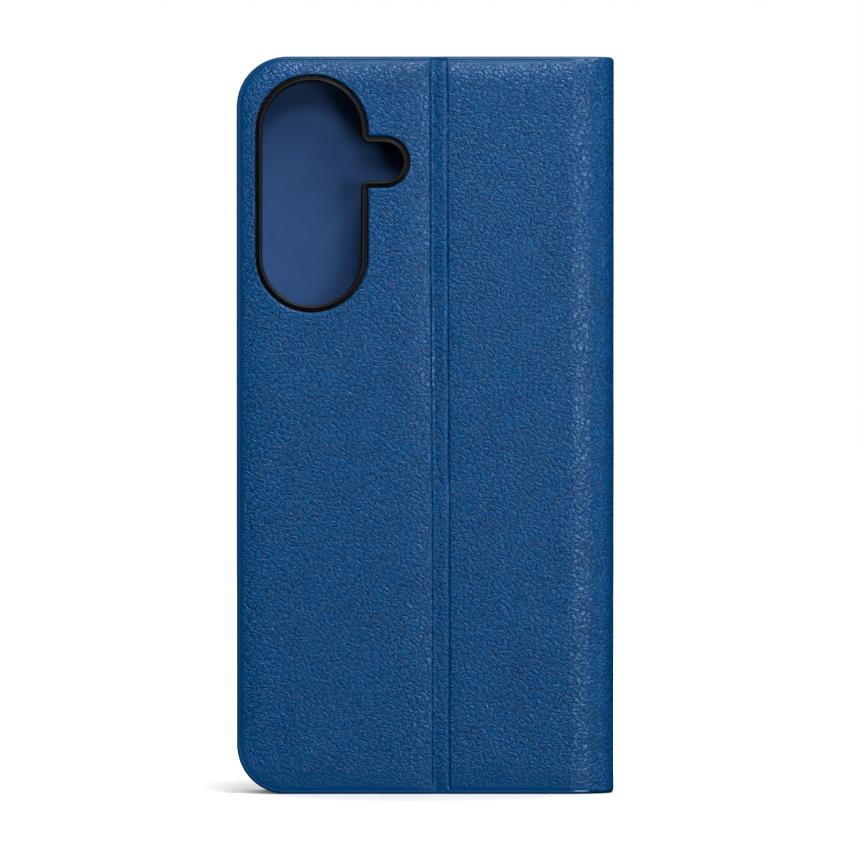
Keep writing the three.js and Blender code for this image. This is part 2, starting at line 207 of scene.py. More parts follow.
def edge_inset(points):
    """Distance of places (s, z) from the edge of the sheet, whose four corners are round."""
    middle = np.array([(FREE_EDGE + SHEET_END) / 2, HEIGHT / 2])
    half = np.array([(SHEET_END - FREE_EDGE) / 2, HEIGHT / 2]) - CORNER_RADIUS
    beyond = np.abs(points - middle) - half
    outside = np.hypot(*np.maximum(beyond, 0).T)
    return np.maximum(CORNER_RADIUS - outside - np.minimum(beyond.max(axis=1), 0), 0)


def arc(x, z, radius, start, end, steps):
    """Points on an arc, without its last one."""
    angles = np.linspace(start, end, steps, endpoint=False)
    return np.column_stack([x + radius * np.cos(angles), z + radius * np.sin(angles)])


def line(start, end, steps):
    """Points on a straight line, without its last one."""
    shares = np.linspace(0, 1, steps, endpoint=False)[:, None]
    return np.array(start) + (np.array(end) - np.array(start)) * shares


def camera_outline(offset):
    """Places (x, z) round the camera opening grown by an offset, anticlockwise from the left."""
    pill = CAMERA["radius"] + offset
    bay = FLASH["radius"] + offset
    fillet = max(BAY_FILLET - offset, 0.02)
    left, right = CAMERA["x"] - pill, CAMERA["x"] + pill
    low_fillet, high_fillet = FLASH["z"] - bay - fillet, FLASH["z"] + bay + fillet
    quarter = math.pi / 2
    return np.concatenate(
        [
            arc(CAMERA["x"], CAMERA["bottom"], pill, math.pi, 2 * math.pi, 36),
            line((right, CAMERA["bottom"]), (right, low_fillet), 12),
            arc(right + fillet, low_fillet, fillet, math.pi, quarter, 8),
            line((right + fillet, FLASH["z"] - bay), (FLASH["x"], FLASH["z"] - bay), 3),
            arc(FLASH["x"], FLASH["z"], bay, -quarter, quarter, 24),
            line((FLASH["x"], FLASH["z"] + bay), (right + fillet, FLASH["z"] + bay), 3),
            arc(right + fillet, high_fillet, fillet, -quarter, -math.pi, 8),
            line((right, high_fillet), (right, CAMERA["top"]), 2),
            arc(CAMERA["x"], CAMERA["top"], pill, 0, math.pi, 36),
            line((left, CAMERA["top"]), (left, CAMERA["bottom"]), 24),
        ]
    )


def camera_distance(points):
    """Distance of places (x, z) outside the camera opening."""
    x, z = points[:, 0], points[:, 1]
    axis_z = np.clip(z, CAMERA["bottom"], CAMERA["top"])
    from_pill = np.hypot(x - CAMERA["x"], z - axis_z) - CAMERA["radius"]
    axis_x = np.clip(x, CAMERA["x"], FLASH["x"])
    from_bay = np.hypot(x - axis_x, z - FLASH["z"]) - FLASH["radius"]
    distance = np.minimum(from_pill, from_bay)
    across = BAY_FILLET_X - x
    inwards = BAY_FILLET_RISE - np.abs(z - FLASH["z"])
    in_fillet = (inwards > 0) & (across > 0) & (x > CAMERA["x"])
    from_fillet = BAY_FILLET - np.hypot(across, inwards)
    return np.where(in_fillet, np.minimum(distance, from_fillet), distance)


# ---------------------------------------------------------------- meshes


def triangles_of(points, loops, keep):
    """Triangles over the points whose middles keep() accepts. Loops are rings of indices."""
    edges = [(ring[i - 1], ring[i]) for ring in loops for i in range(len(ring))]
    flat = [Vector(point) for point in points]
    found = delaunay_2d_cdt(flat, edges, [], 0, 1e-5)
    places, faces = np.array([tuple(v) for v in found[0]]), np.array(found[2])
    middles = places[faces].mean(axis=1)
    return places, faces[keep(middles)]


def rim_edges(faces):
    """Directed edges that only one triangle has."""
    edges = np.concatenate([faces[:, [0, 1]], faces[:, [1, 2]], faces[:, [2, 0]]])
    seen = {tuple(edge) for edge in edges}
    return [(a, b) for a, b in seen if (b, a) not in seen]


def add_object(name, points, faces, material, body=None, sharp=50):
    """A smooth-shaded object from points in metres."""
    mesh = bpy.data.meshes.new(name)
    mesh.from_pydata([tuple(point) for point in points], [], [tuple(map(int, f)) for f in faces])
    mesh.validate()
    mesh.polygons.foreach_set("use_smooth", [True] * len(mesh.polygons))
    mesh.set_sharp_from_angle(angle=math.radians(sharp))
    mesh.materials.append(material)
    made = bpy.data.objects.new(name, mesh)
    bpy.context.scene.collection.objects.link(made)
    if body:
        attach(made, body)
    return made


def slab(name, places, faces, outer_depth, inner_depth, material, body=None):
    """A closed shell of the sheet between two depths, over a flat triangulation in (s, z)."""
    count = len(places)
    points = np.concatenate([place(places, outer_depth), place(places, inner_depth)])
    walls = [(b, a, a + count, b + count) for a, b in rim_edges(faces)]
    inner = faces[:, ::-1] + count
    made = add_object(name, points, [*faces, *inner, *walls], material, body)
    coordinates = np.tile(np.column_stack([places, np.zeros(count)]), (2, 1))
    stored = made.data.attributes.new("sheet_place", "FLOAT_VECTOR", "POINT")
    stored.data.foreach_set("vector", coordinates.ravel())
    return made


def store(made, name, values):
    """Stores one value for each vertex of a slab, the same on both of its faces."""
    attribute = made.data.attributes.new(name, "FLOAT", "POINT")
    attribute.data.foreach_set("value", np.tile(values, 2))


def steps_between(start, end, pitch):
    """Evenly spaced values from start to end, about a pitch apart."""
    return np.linspace(start, end, max(2, round((end - start) / pitch) + 1))


def unique(values):
    """Sorted values without those that nearly repeat the one before."""
    ordered = np.sort(np.array(values, float))
    return ordered[np.concatenate([[True], np.diff(ordered) > 0.02])]


def edge_rows(inset):
    """Heights of the rows of a sheet, close together near its bottom and top edges."""
    near = inset + np.array(EDGE_INSETS)
    middle = steps_between(near[-1], HEIGHT - near[-1], PITCH)
    return unique([*near, *middle, *(HEIGHT - near)])


def sheet_columns(start, end, inset):
    """Columns of the sheet from start to end, close together at its edges, creases and folds."""
    near = inset + np.array(EDGE_INSETS)
    crease = np.array([-2.2, -1.6, -1.2, *np.linspace(-0.9, 0.7, 13), 1.1, 1.5])
    stretches = [
        *steps_between(FREE_EDGE + near[-1], -6, PITCH),
        *steps_between(-6, CREASE_A - 2.2, 1.0),
        *steps_between(CREASE_B + 2.5, FOLD_X - 2, PITCH),
        *steps_between(FOLD_X - 2, SPINE_FROM, 0.5),
        *steps_between(SPINE_FROM, SPINE_TO, 0.8),
        *steps_between(SPINE_TO, COVER_FROM + 2, 0.5),
        *steps_between(COVER_FROM + 2, SHEET_END - near[-1], PITCH),
        *(CREASE_A + crease),
        *(CREASE_B + crease),
        *(FREE_EDGE + near),
        *(SHEET_END - near),
    ]
    inside = [s for s in stretches if start < s < end]
    return unique([start, *inside, end])


def corner_points(centre_s, centre_z, side_s, side_z, inset):
    """Points on arcs round the centre of a round corner, at the insets of the edge rows."""
    radii = [CORNER_RADIUS - inset - near for near in EDGE_INSETS] + [2.6, 1.2]
    angles = np.linspace(0, math.pi / 2, 17)
    rings = [
        np.column_stack([side_s * radius * np.cos(angles), side_z * radius * np.sin(angles)])
        for radius in radii
        if radius > 0
    ]
    return np.concatenate([*rings, [[0, 0]]]) + [centre_s, centre_z]


def sheet_mesh(start, end, inset=0.0, camera_offset=None):
    """Flat triangulation in (s, z) of the sheet from start to end, inset from its outline."""
    left = max(start, FREE_EDGE + inset)
    right = min(end, SHEET_END - inset)
    columns = sheet_columns(left, right, inset)
    rows = edge_rows(inset)
    grid = np.array([(s, z) for s in columns for z in rows])
    corners_s = [
        (FREE_EDGE + CORNER_RADIUS, -1),
        (SHEET_END - CORNER_RADIUS, 1),
    ]
    corners_z = [(CORNER_RADIUS, -1), (HEIGHT - CORNER_RADIUS, 1)]
    for centre_s, side_s in corners_s:
        if not left < centre_s < right:
            continue
        for centre_z, side_z in corners_z:
            beyond = (side_s * (grid[:, 0] - centre_s) > -0.01) & (
                side_z * (grid[:, 1] - centre_z) > -0.01
            )
            arcs = corner_points(centre_s, centre_z, side_s, side_z, inset)
            grid = np.concatenate([grid[~beyond], arcs])
    on_cut = []
    if camera_offset is not None:
        clear = camera_distance(grid) > camera_offset + 1.6
        rings = [camera_outline(camera_offset + away) for away in (0, 0.12, 0.27, 0.45, 0.7, 1.1)]
        grid = grid[clear]
        on_cut = [list(range(len(grid), len(grid) + len(rings[0])))]
        grid = np.concatenate([grid, *rings])

    def inside(middles):
        held = (middles[:, 0] > left) & (middles[:, 0] < right)
        held &= edge_inset(middles) > inset + 1e-4
        if camera_offset is not None:
            held &= camera_distance(middles) > camera_offset - 0.01
        return held

    return triangles_of(grid, on_cut, inside)


# ---------------------------------------------------------------- leather


def crease_lean(z):
    """How far the pressed crease lines stand left of the fold axes at a height."""
    return 0.5 * smooth(z, 0.2 * HEIGHT, 0.95 * HEIGHT)


def edge_depth(inset, turned):
    """Depth of the rolled edge and of the fine line pressed beside it, rounder on the spine."""
    roll = quarter_round(inset, EDGE_ROLL) + groove(inset - PRESSED_LINE_INSET, 0.12, 0.045)
    return (1 - turned) * roll + turned * quarter_round(inset, SPINE_EDGE_ROLL)


def crown_depth(inset, z, turned):
    """Depth of the broad crown inside the edges, which is flatter near the bottom."""
    share = np.clip(1 - (inset - CROWN["from"]) / CROWN["width"], 0, 1)
    return CROWN["depth"] * share**2 * (1 - turned) * (0.15 + 0.85 * smooth(z, 4, 14))


def crease_depths(s, z):
    """Depth of the fall towards the creases, and of the strip and the pressed lines."""
    line_a = CREASE_A - crease_lean(z)
    line_b = CREASE_B - crease_lean(z)
    before = np.clip(1 - (line_a - s) / FALL_BEFORE, 0, 1) * (s < line_a)
    after = np.clip(1 - (s - line_b) / FALL_AFTER, 0, 1) * (s > line_b)
    swelling = 0.35 + 0.25 * smooth(z, 0.35 * HEIGHT, 0.8 * HEIGHT)
    falling = swelling * before**2 + 0.12 * after**2

    on_strip = smooth(s, line_a - 0.1, line_a + 0.5)
    on_strip *= 1 - smooth(s, line_b - 0.5, line_b + 0.1)
    strip_level = swelling * (1 - 0.85 * smooth(s, line_a, line_b)) * (s >= line_a)
    strip = np.maximum(STRIP_DEPTH, strip_level) * on_strip
    lines = groove(s - line_a, 0.26, 0.32) + groove(s - line_b, 0.26, 0.4)
    lines += groove(s - line_a - 0.75, 0.16, 0.05)
    end_inset = np.minimum(z, HEIGHT - z)
    return falling, strip + lines * smooth(end_inset, 0.7, 2.0)


def inner_depth(s, inset):
    """Depth of the leather's inner face: deep at the rim and beside the strip, where it is thin."""
    thin = smooth(s, CREASE_A - 2.5, CREASE_A - 1.2)
    thin *= 1 - smooth(s, CREASE_B + 1.2, CREASE_B + 2.5)
    at_rim = 1 - smooth(inset, RIM_WIDTH, RIM_WIDTH + 0.15)
    rim = (RIM_DEPTH - SKIN) * at_rim * (1 - thin)
    rounding = 0.3 - np.minimum(0.3, np.sqrt(inset * 0.6))
    return SKIN + rim + STRIP_DEPTH * thin - rounding


def leather_depths(places):
    """Depth of the leather's outer and inner faces, and the strength of its grain."""
    s, z = places[:, 0], places[:, 1]
    inset = edge_inset(places)
    turned = smooth(s, FOLD_X + 4, FOLD_X + 7) * (1 - smooth(s, COVER_FROM - 7, COVER_FROM - 4))
    falling, strip_and_lines = crease_depths(s, z)

    outer = edge_depth(inset, turned) + strip_and_lines
    outer += (crown_depth(inset, z, turned) ** 4 + falling**4) ** 0.25
    beyond_board = np.minimum(s, SPINE_FROM + SPINE_TO - s) - FOLD_X
    outer += 0.2 * smooth(beyond_board, 0.5, 4) * (1 - smooth(beyond_board, 6, 12))
    uneven = sum(depth * cloud(places, size, seed) for depth, size, seed in UNDULATIONS)
    outer += uneven * smooth(inset, 0.8, 4)
    cut_edge = quarter_round(np.maximum(camera_distance(places) - PANEL_CUT, 0), EDGE_ROLL)
    outer = np.where(s < CREASE_A, np.maximum(outer, cut_edge), outer)
    inner = np.maximum(inner_depth(s, inset), outer + 0.3)

    grain = smooth(inset, 0.95, 2.2) * (0.35 + 0.65 * smooth(z, 3, 9))
    grain = np.maximum(grain, 1.2 * turned * smooth(inset, 0.2, 1.2))
    return outer, inner, grain


def leather_piece(name, start, end, bodies, bend, stands_for, rests_on, material):
    """One stretch of the leather sheet, in its resting shape."""
    camera_offset = PANEL_CUT if start < CAMERA["x"] < end else None
    places, faces = sheet_mesh(start, end, 0.0, camera_offset)
    outer, inner, grain = leather_depths(places)
    made = slab(name, places, faces, outer, inner, material)
    store(made, "grain", grain)
    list(bodies)
    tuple(bend[0])
    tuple(bend[1])
    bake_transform(made)
    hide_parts(*stands_for)


# ---------------------------------------------------------------- linings


def lining_depth(places):
    """Depth of the outer side of the lining, which dips to the leather where no board lies."""
    s = places[:, 0]
    on_strip = smooth(s, CREASE_A - 1.6, CREASE_A - 0.6)
    on_strip *= 1 - smooth(s, CREASE_B + 0.6, CREASE_B + 1.6)
    from_middle = np.abs(s - (SPINE_FROM + SPINE_TO) / 2)
    on_fold = smooth(from_middle, HALF_SPINE, HALF_SPINE + 1.6)
    on_fold *= 1 - smooth(from_middle, HALF_TURN - 3.2, HALF_TURN - FOLD_MARGIN)
    dip = (LINING_DEPTH - SKIN - 0.06) * on_fold
    dip += (LINING_DEPTH - SKIN - STRIP_DEPTH - 0.06) * on_strip
    return LINING_DEPTH - dip


def lining_piece(name, start, end, bodies, bend, stands_for, rests_on, material):
    """One stretch of the microfibre lining, in its resting shape."""
    camera_offset = PANEL_CUT if start < CAMERA["x"] < end else None
    places, faces = sheet_mesh(start, end, LINING_INSET, camera_offset)
    outer = lining_depth(places)
    inset = edge_inset(places) - LINING_INSET
    edge = quarter_round(np.maximum(inset, 0), 0.15)
    inner = outer + LINING - edge
    creases = groove(places[:, 0] - CREASE_A, 0.4, 0.12) + groove(places[:, 0] - CREASE_B, 0.4, 0.12)
    inner -= creases * smooth(inset, 0, 1)
    made = slab(name, places, faces, outer, inner, material)
    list(bodies)
    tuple(bend[0])
    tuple(bend[1])
    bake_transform(made)
    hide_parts(*stands_for)


# ---------------------------------------------------------------- pockets


def rounded_rectangle(low, high, radius, pitch=6.0):
    """Ring of points round a rectangle with round corners, with the same count for any inset."""
    ring = []
    centres = [
        (high[0] - radius, low[1] + radius, -math.pi / 2),
        (high[0] - radius, high[1] - radius, 0),
        (low[0] + radius, high[1] - radius, math.pi / 2),
        (low[0] + radius, low[1] + radius, math.pi),
    ]
    sides = [high[1] - low[1], high[0] - low[0]] * 2
    for index, (x, z, start) in enumerate(centres):
        bend = arc(x, z, radius, start, start + math.pi / 2, 12)
        corner_end = np.array(
            [x + radius * math.cos(start + math.pi / 2), z + radius * math.sin(start + math.pi / 2)]
        )
        after = centres[(index + 1) % 4]
        next_start = np.array(
            [after[0] + radius * math.cos(after[2]), after[1] + radius * math.sin(after[2])]
        )
        shares = np.linspace(0, 1, 2 + round(sides[index] / pitch), endpoint=False)[:, None]
        ring += [bend, corner_end + (next_start - corner_end) * shares]
    return np.concatenate(ring)


def cash_pocket_outline(inset):
    low, high = box_mm("cash_pocket")
    return rounded_rectangle(
        (low[0] + inset, low[2] + inset), (high[0] - inset, high[2] - inset), 4 - inset
    )


def card_pocket_outline(node):
    """Outline of a card pocket at an inset: a rectangle with a thumb notch in its open top."""
    low, high = box_mm(node)
    middle = (low[0] + high[0]) / 2
    notch = 9.0

    def outline(inset):
        left, right = low[0] + inset, high[0] - inset
        bottom, top = low[2] + inset, high[2] - inset
        radius = notch + inset
        dip = math.asin(inset / radius)
        corner = 1.5
        sides = np.linspace(bottom + corner, top, 40)[:, None]
        half_notch = radius * math.cos(dip)
        top_right = np.linspace(right, middle + half_notch, 8, endpoint=False)
        top_left = np.linspace(middle - half_notch, left, 8, endpoint=False)
        floor = np.linspace(left + corner, right - corner, 16, endpoint=False)
        return np.concatenate(
            [
                np.column_stack([floor, np.full(16, bottom)]),
                arc(right - corner, bottom + corner, corner, -math.pi / 2, 0, 6),
                np.column_stack([np.full(39, right), sides[:-1, 0]]),
                np.column_stack([top_right, np.full(8, top)]),
                arc(middle, high[2], radius, -dip, dip - math.pi, 24),
                np.column_stack([top_left, np.full(8, top)]),
                np.column_stack([np.full(39, left), sides[:0:-1, 0]]),
                arc(left + corner, bottom + corner, corner, math.pi, 1.5 * math.pi, 6),
            ]
        )

    return outline


def point_in_ring(points, ring):
    """Whether points lie inside a closed ring."""
    inside = np.zeros(len(points), bool)
    x, z = points[:, 0], points[:, 1]
    for (ax, az), (bx, bz) in zip(ring, np.roll(ring, -1, axis=0)):
        if az == bz:
            continue
        crosses = (az > z) != (bz > z)
        inside ^= crosses & (x < ax + (z - az) * (bx - ax) / (bz - az))
    return inside


def ring_inset(points, ring):
    """Distance of points from the nearest side of a closed ring."""
    nearest = np.full(len(points), np.inf)
    for start, end in zip(ring, np.roll(ring, -1, axis=0)):
        side = end - start
        share = np.clip((points - start) @ side / max(side @ side, 1e-12), 0, 1)
        nearest = np.minimum(nearest, np.hypot(*(points - start - share[:, None] * side).T))
    return nearest


def pocket_piece(node, outline, material):
    """A flat pocket sheet with rounded edges."""
    low, high = box_mm(node)
    insets = [0, 0.05, 0.13, 0.3, 0.6, 1.2]
    rings = [outline(inset) for inset in insets]
    grid = np.array(
        [
            (x, z)
            for x in steps_between(low[0] + 2, high[0] - 2, 2.4)
            for z in steps_between(low[2] + 2, high[2] - 2, 2.4)
        ]
    )
    grid = grid[point_in_ring(grid, outline(1.9))]
    count = len(rings[0])
    flat, faces = triangles_of(
        np.concatenate([*rings, grid]),
        [list(range(ring * count, (ring + 1) * count)) for ring in range(len(rings))],
        lambda middles: point_in_ring(middles, rings[0]),
    )
    inset = ring_inset(flat, rings[0])
    edge = quarter_round(inset, 0.13)
    on_cover = np.column_stack([COVER_FROM + FOLD_X - flat[:, 0], flat[:, 1]])
    outer = BACK + THICKNESS - high[1] + edge
    inner = BACK + THICKNESS - low[1] - edge
    made = slab(node + "_sheet", on_cover, faces[:, ::-1], outer, inner, material, "front_cover")
    store(made, "grain", 0.6 * smooth(inset, 0.2, 1.2))
    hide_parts(node)


def stitch_rings(place_at, start, y):
    """Rings of points round one stitch, which dips into the sheet at both of its ends."""
    rings = []
    for share in np.linspace(0, 1, 7):
        here = place_at(start + STITCH["length"] * share)
        ahead = place_at(start + STITCH["length"] * share + 0.1) - here
        across = np.array([-ahead[1], ahead[0]]) / np.hypot(*ahead)
        bulge = math.sin(math.pi * share)
        rise = STITCH["thickness"] * (math.sqrt(max(bulge, 0)) - 0.75)
        radius = STITCH["thickness"] / 2 * (0.55 + 0.45 * bulge)
        turns = np.linspace(0, 2 * math.pi, 8, endpoint=False)
        sideways = here + radius * np.cos(turns)[:, None] * across
        rings.append(
            np.column_stack([sideways[:, 0], y - rise + radius * np.sin(turns), sideways[:, 1]])
        )
    return rings


def stitches(name, path, y, material):
    """A row of thread stitches along a path of (x, z) on the inner side of the cover."""
    lengths = np.concatenate([[0], np.cumsum(np.hypot(*np.diff(path, axis=0).T))])

    def place_at(along):
        return np.array([np.interp(along, lengths, column) for column in path.T])

    last = lengths[-1] - STITCH["length"] - STITCH["gap"]
    parts = []
    for start in np.arange(STITCH["gap"], last, STITCH["length"] + STITCH["gap"]):
        points, faces = loft(stitch_rings(place_at, start, y))
        count = len(points)
        faces += [list(range(8))[::-1], list(range(count - 8, count))]
        parts.append((points, faces))
    points, faces = merged(parts)
    made = add_object(name, points * MM, faces, material, "front_cover")
    weld(made)


def card_pocket_seam(node):
    """Path of the stitching down one side of a card pocket, along its bottom and up again."""
    low, high = box_mm(node)
    left, right = low[0] + SEAM_INSET, high[0] - SEAM_INSET
    bottom, top = low[2] + SEAM_INSET, high[2] - 1
    return np.array([(left, top), (left, bottom), (right, bottom), (right, top)])


# ---------------------------------------------------------------- tray


def loft(rings):
    """Points and quads of a surface through rings of (x, y, z) with equal counts."""
    count = len(rings[0])
    points = np.concatenate(rings)
    faces = [
        (
            ring * count + side,
            ring * count + (side + 1) % count,
            (ring + 1) * count + (side + 1) % count,
            (ring + 1) * count + side,
        )
        for ring in range(len(rings) - 1)
        for side in range(count)
    ]
    return points, faces


def at_depth(ring, deep):
    """Ring of (x, z) as points (x, y, z) at a depth from the outer back face."""
    return np.column_stack([ring[:, 0], np.full(len(ring), BACK + deep), ring[:, 1]])


def tray_ring(inset, deep):
    """Ring round the tray at an inset from its outer wall."""
    low = (TRAY_LOW[0] + inset, TRAY_LOW[2] + inset)
    high = (TRAY_HIGH[0] - inset, TRAY_HIGH[2] - inset)
    return at_depth(rounded_rectangle(low, high, TRAY_CORNER - inset), deep)


def tray_profile():
    """Points (inset, deep) round the wall of the tray, from its back to its inner floor."""
    front = TRAY_HIGH[1] - BACK
    floor = TRAY_BACK + TRAY_FLOOR
    mouth = TRAY_WALL + 0.9
    under_lip = front - 0.8
    right = math.pi / 2
    return [
        *arc(1.4, TRAY_BACK + 1.4, 1.4, -right, -2 * right, 7),
        (0, TRAY_BACK + 1.4),
        *arc(0.5, front - 0.5, 0.5, 2 * right, right, 5),
        (0.5, front),
        *arc(mouth - 0.35, front - 0.35, 0.35, right, 0, 4),
        (mouth, front - 0.35),
        (mouth, under_lip + 0.1),
        (mouth - 0.1, under_lip),
        (TRAY_WALL + 0.15, under_lip),
        (TRAY_WALL, under_lip - 0.15),
        *arc(TRAY_WALL + 0.5, floor + 0.5, 0.5, 2 * right, 3 * right, 5),
        (TRAY_WALL + 0.5, floor),
    ]


def camera_lip_profile():
    """Points (offset, deep) over the raised lip, from the tray's back to its inner floor."""
    crest = 0.28
    floor = TRAY_BACK + TRAY_FLOOR
    return [
        (1.35, TRAY_BACK),
        (1.35, 1.3),
        (1.3, 1.15),
        (1.18, 1.08),
        (1.05, 1.08),
        (0.97, 1.0),
        (0.94, 0.85),
        (0.92, 0.55),
        (0.84, crest + 0.12),
        (0.7, crest + 0.03),
        (0.5, crest),
        (0.3, crest + 0.03),
        (0.12, crest + 0.15),
        (0.03, crest + 0.35),
        (0, crest + 0.7),
        (0, floor - 0.15),
        (0.15, floor),
    ]


def floor_faces(outer, inner, deep):
    """Triangles of a flat floor between an outer ring of (x, z) and the camera opening."""
    count = len(outer)
    hole = list(range(count, count + len(inner)))
    places, faces = triangles_of(
        np.concatenate([outer, inner]),
        [list(range(count)), hole],
        lambda middles: point_in_ring(middles, outer) & ~point_in_ring(middles, inner),
    )
    return at_depth(places, deep), faces


def merged(parts):
    """One list of points and faces from several (points, faces)."""
    points, faces, base = [], [], 0
    for part_points, part_faces in parts:
        points.append(part_points)
        faces += [[int(index) + base for index in face] for face in part_faces]
        base += len(part_points)
    return np.concatenate(points), faces


def weld(made, distance=0.002 * MM):
    """Joins points that coincide and turns all faces outwards."""
    mesh = bmesh.new()
    mesh.from_mesh(made.data)
    bmesh.ops.remove_doubles(mesh, verts=mesh.verts, dist=distance)
    bmesh.ops.recalc_face_normals(mesh, faces=mesh.faces)
    mesh.to_mesh(made.data)
    mesh.free()


def slot_cutter(section, axis, start, end):
    """Prism along x or z through a ring of two coordinates, used to cut a slot."""
    ends = []
    for value in (start, end):
        along = np.full(len(section), value)
        columns = [section[:, 0], section[:, 1]]
        columns.insert(axis, along)
        ends.append(np.column_stack(columns))
    points, faces = loft(ends)
    count = len(section)
    faces += [list(range(count))[::-1], [count + index for index in range(count)]]
    cutter = add_object("slot_cutter", points * MM, faces, None)
    weld(cutter)
    return cutter


def cut_slots(made, cutters):
    """Cuts each cutter out of an object and removes the cutters."""
    for cutter in cutters:
        modifier = made.modifiers.new("slot", "BOOLEAN")
        modifier.operation = "DIFFERENCE"
        modifier.solver = "EXACT"
        modifier.object = cutter
    graph = bpy.context.evaluated_depsgraph_get()
    cut = bpy.data.meshes.new_from_object(made.evaluated_get(graph))
    made.modifiers.clear()
    made.data = cut
    for cutter in cutters:
        bpy.data.objects.remove(cutter)


def tray_cutters():
    """Cutters for the ports of the bottom and top wall and for the slots of the key pads."""
    middle_x = (TRAY_LOW[0] + TRAY_HIGH[0]) / 2
    middle_y = BACK + (TRAY_BACK + TRAY_FLOOR + TRAY_HIGH[1] - BACK - 0.8) / 2
    cutters = []
    for offset, width, depth, start, end in PORTS:
        low = (middle_x + offset - width / 2, middle_y - depth / 2)
        high = (middle_x + offset + width / 2, middle_y + depth / 2)
        section = rounded_rectangle(low, high, depth / 2 - 0.05)
        cutters.append(slot_cutter(section, 2, start, end))
    for node in ("volume_key_pad", "power_key_pad"):
        low, high = box_mm(node)
        grow = 0.25
        section = rounded_rectangle(
            (low[1] - grow, low[2] - grow), (high[1] + grow, high[2] + grow), 0.9
        )
        cutters.append(slot_cutter(section, 0, TRAY_LOW[0] - 1, TRAY_LOW[0] + TRAY_WALL + 1))
    return cutters


def phone_tray(material):
    """The moulded tray, with its rounded walls, inner lip, raised camera lip and ports."""
    wall = [tray_ring(inset, deep) for inset, deep in tray_profile()]
    lip = [at_depth(camera_outline(offset), deep) for offset, deep in camera_lip_profile()]
    back = floor_faces(wall[0][:, [0, 2]], lip[0][:, [0, 2]], TRAY_BACK)
    floor = floor_faces(wall[-1][:, [0, 2]], lip[-1][:, [0, 2]], TRAY_BACK + TRAY_FLOOR)
    points, faces = merged([loft(wall), loft(lip), back, floor])
    made = add_object("moulded_tray", points * MM, faces, material)
    weld(made)
    cut_slots(made, tray_cutters())
    made.data.polygons.foreach_set("use_smooth", [True] * len(made.data.polygons))
    made.data.set_sharp_from_angle(angle=math.radians(40))
    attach(made, "camera_half")
    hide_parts("phone_tray")


def key_pad(node, body, material):
    """A key pad with a rounded rim and a shallow dished face."""
    low, high = box_mm(node)
    inner, outer = high[0], low[0]
    profile = [
        (0, inner),
        (0, outer + 0.3),
        (0.03, outer + 0.17),
        (0.12, outer + 0.05),
        (0.26, outer),
        (0.42, outer + 0.02),
        (0.62, outer + 0.1),
        (0.86, outer + 0.14),
    ]
    rings = []
    for inset, x in profile:
        ring = rounded_rectangle(
            (low[1] + inset, low[2] + inset), (high[1] - inset, high[2] - inset), 1.0 - inset
        )
        rings.append(np.column_stack([np.full(len(ring), x), ring]))
    points, faces = loft(rings)
    count = len(rings[0])
    faces += [list(range(count)), list(range(len(points) - count, len(points)))]
    made = add_object(node + "_moulded", points * MM, faces, material)
    weld(made)
    made.data.set_sharp_from_angle(angle=math.radians(60))
    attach(made, body)
    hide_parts(node)


# ---------------------------------------------------------------- materials


def node(tree, kind, inputs=None, **settings):
    """Adds a shader node. An input takes a value, or an output socket to link to."""
    made = tree.nodes.new(kind)
    for key, value in settings.items():
        setattr(made, key, value)
    for key, value in (inputs or {}).items():
        if isinstance(value, bpy.types.NodeSocket):
            tree.links.new(value, made.inputs[key])
        else:
            made.inputs[key].default_value = value
    return made


def new_material(name, colour, roughness, specular=0.5, metallic=0.0):
    """A material, its node tree and its Principled node."""
    made = bpy.data.materials.new(name)
    made.use_nodes = True
    made.diffuse_color = (*colour, 1)
    shader = made.node_tree.nodes["Principled BSDF"]
    shader.inputs["Base Color"].default_value = (*colour, 1)
    shader.inputs["Roughness"].default_value = roughness
    shader.inputs["Specular IOR Level"].default_value = specular
    shader.inputs["Metallic"].default_value = metallic
    return made, made.node_tree, shader


def ramp(tree, value, stops):
    """Colour ramp through stops of (position, colour)."""
    made = node(tree, "ShaderNodeValToRGB", {"Fac": value})
    elements = made.color_ramp.elements
    while len(elements) < len(stops):
        elements.new(0.5)
    for element, (position, colour) in zip(elements, stops):
        element.position = position
        element.color = (*colour, 1)
    return made.outputs["Color"]


def blend_values(tree, kind, first, second, third=None):
    """Output of a maths node."""
    inputs = {0: first, 1: second}
    if third is not None:
        inputs[2] = third
    return node(tree, "ShaderNodeMath", inputs, operation=kind).outputs[0]


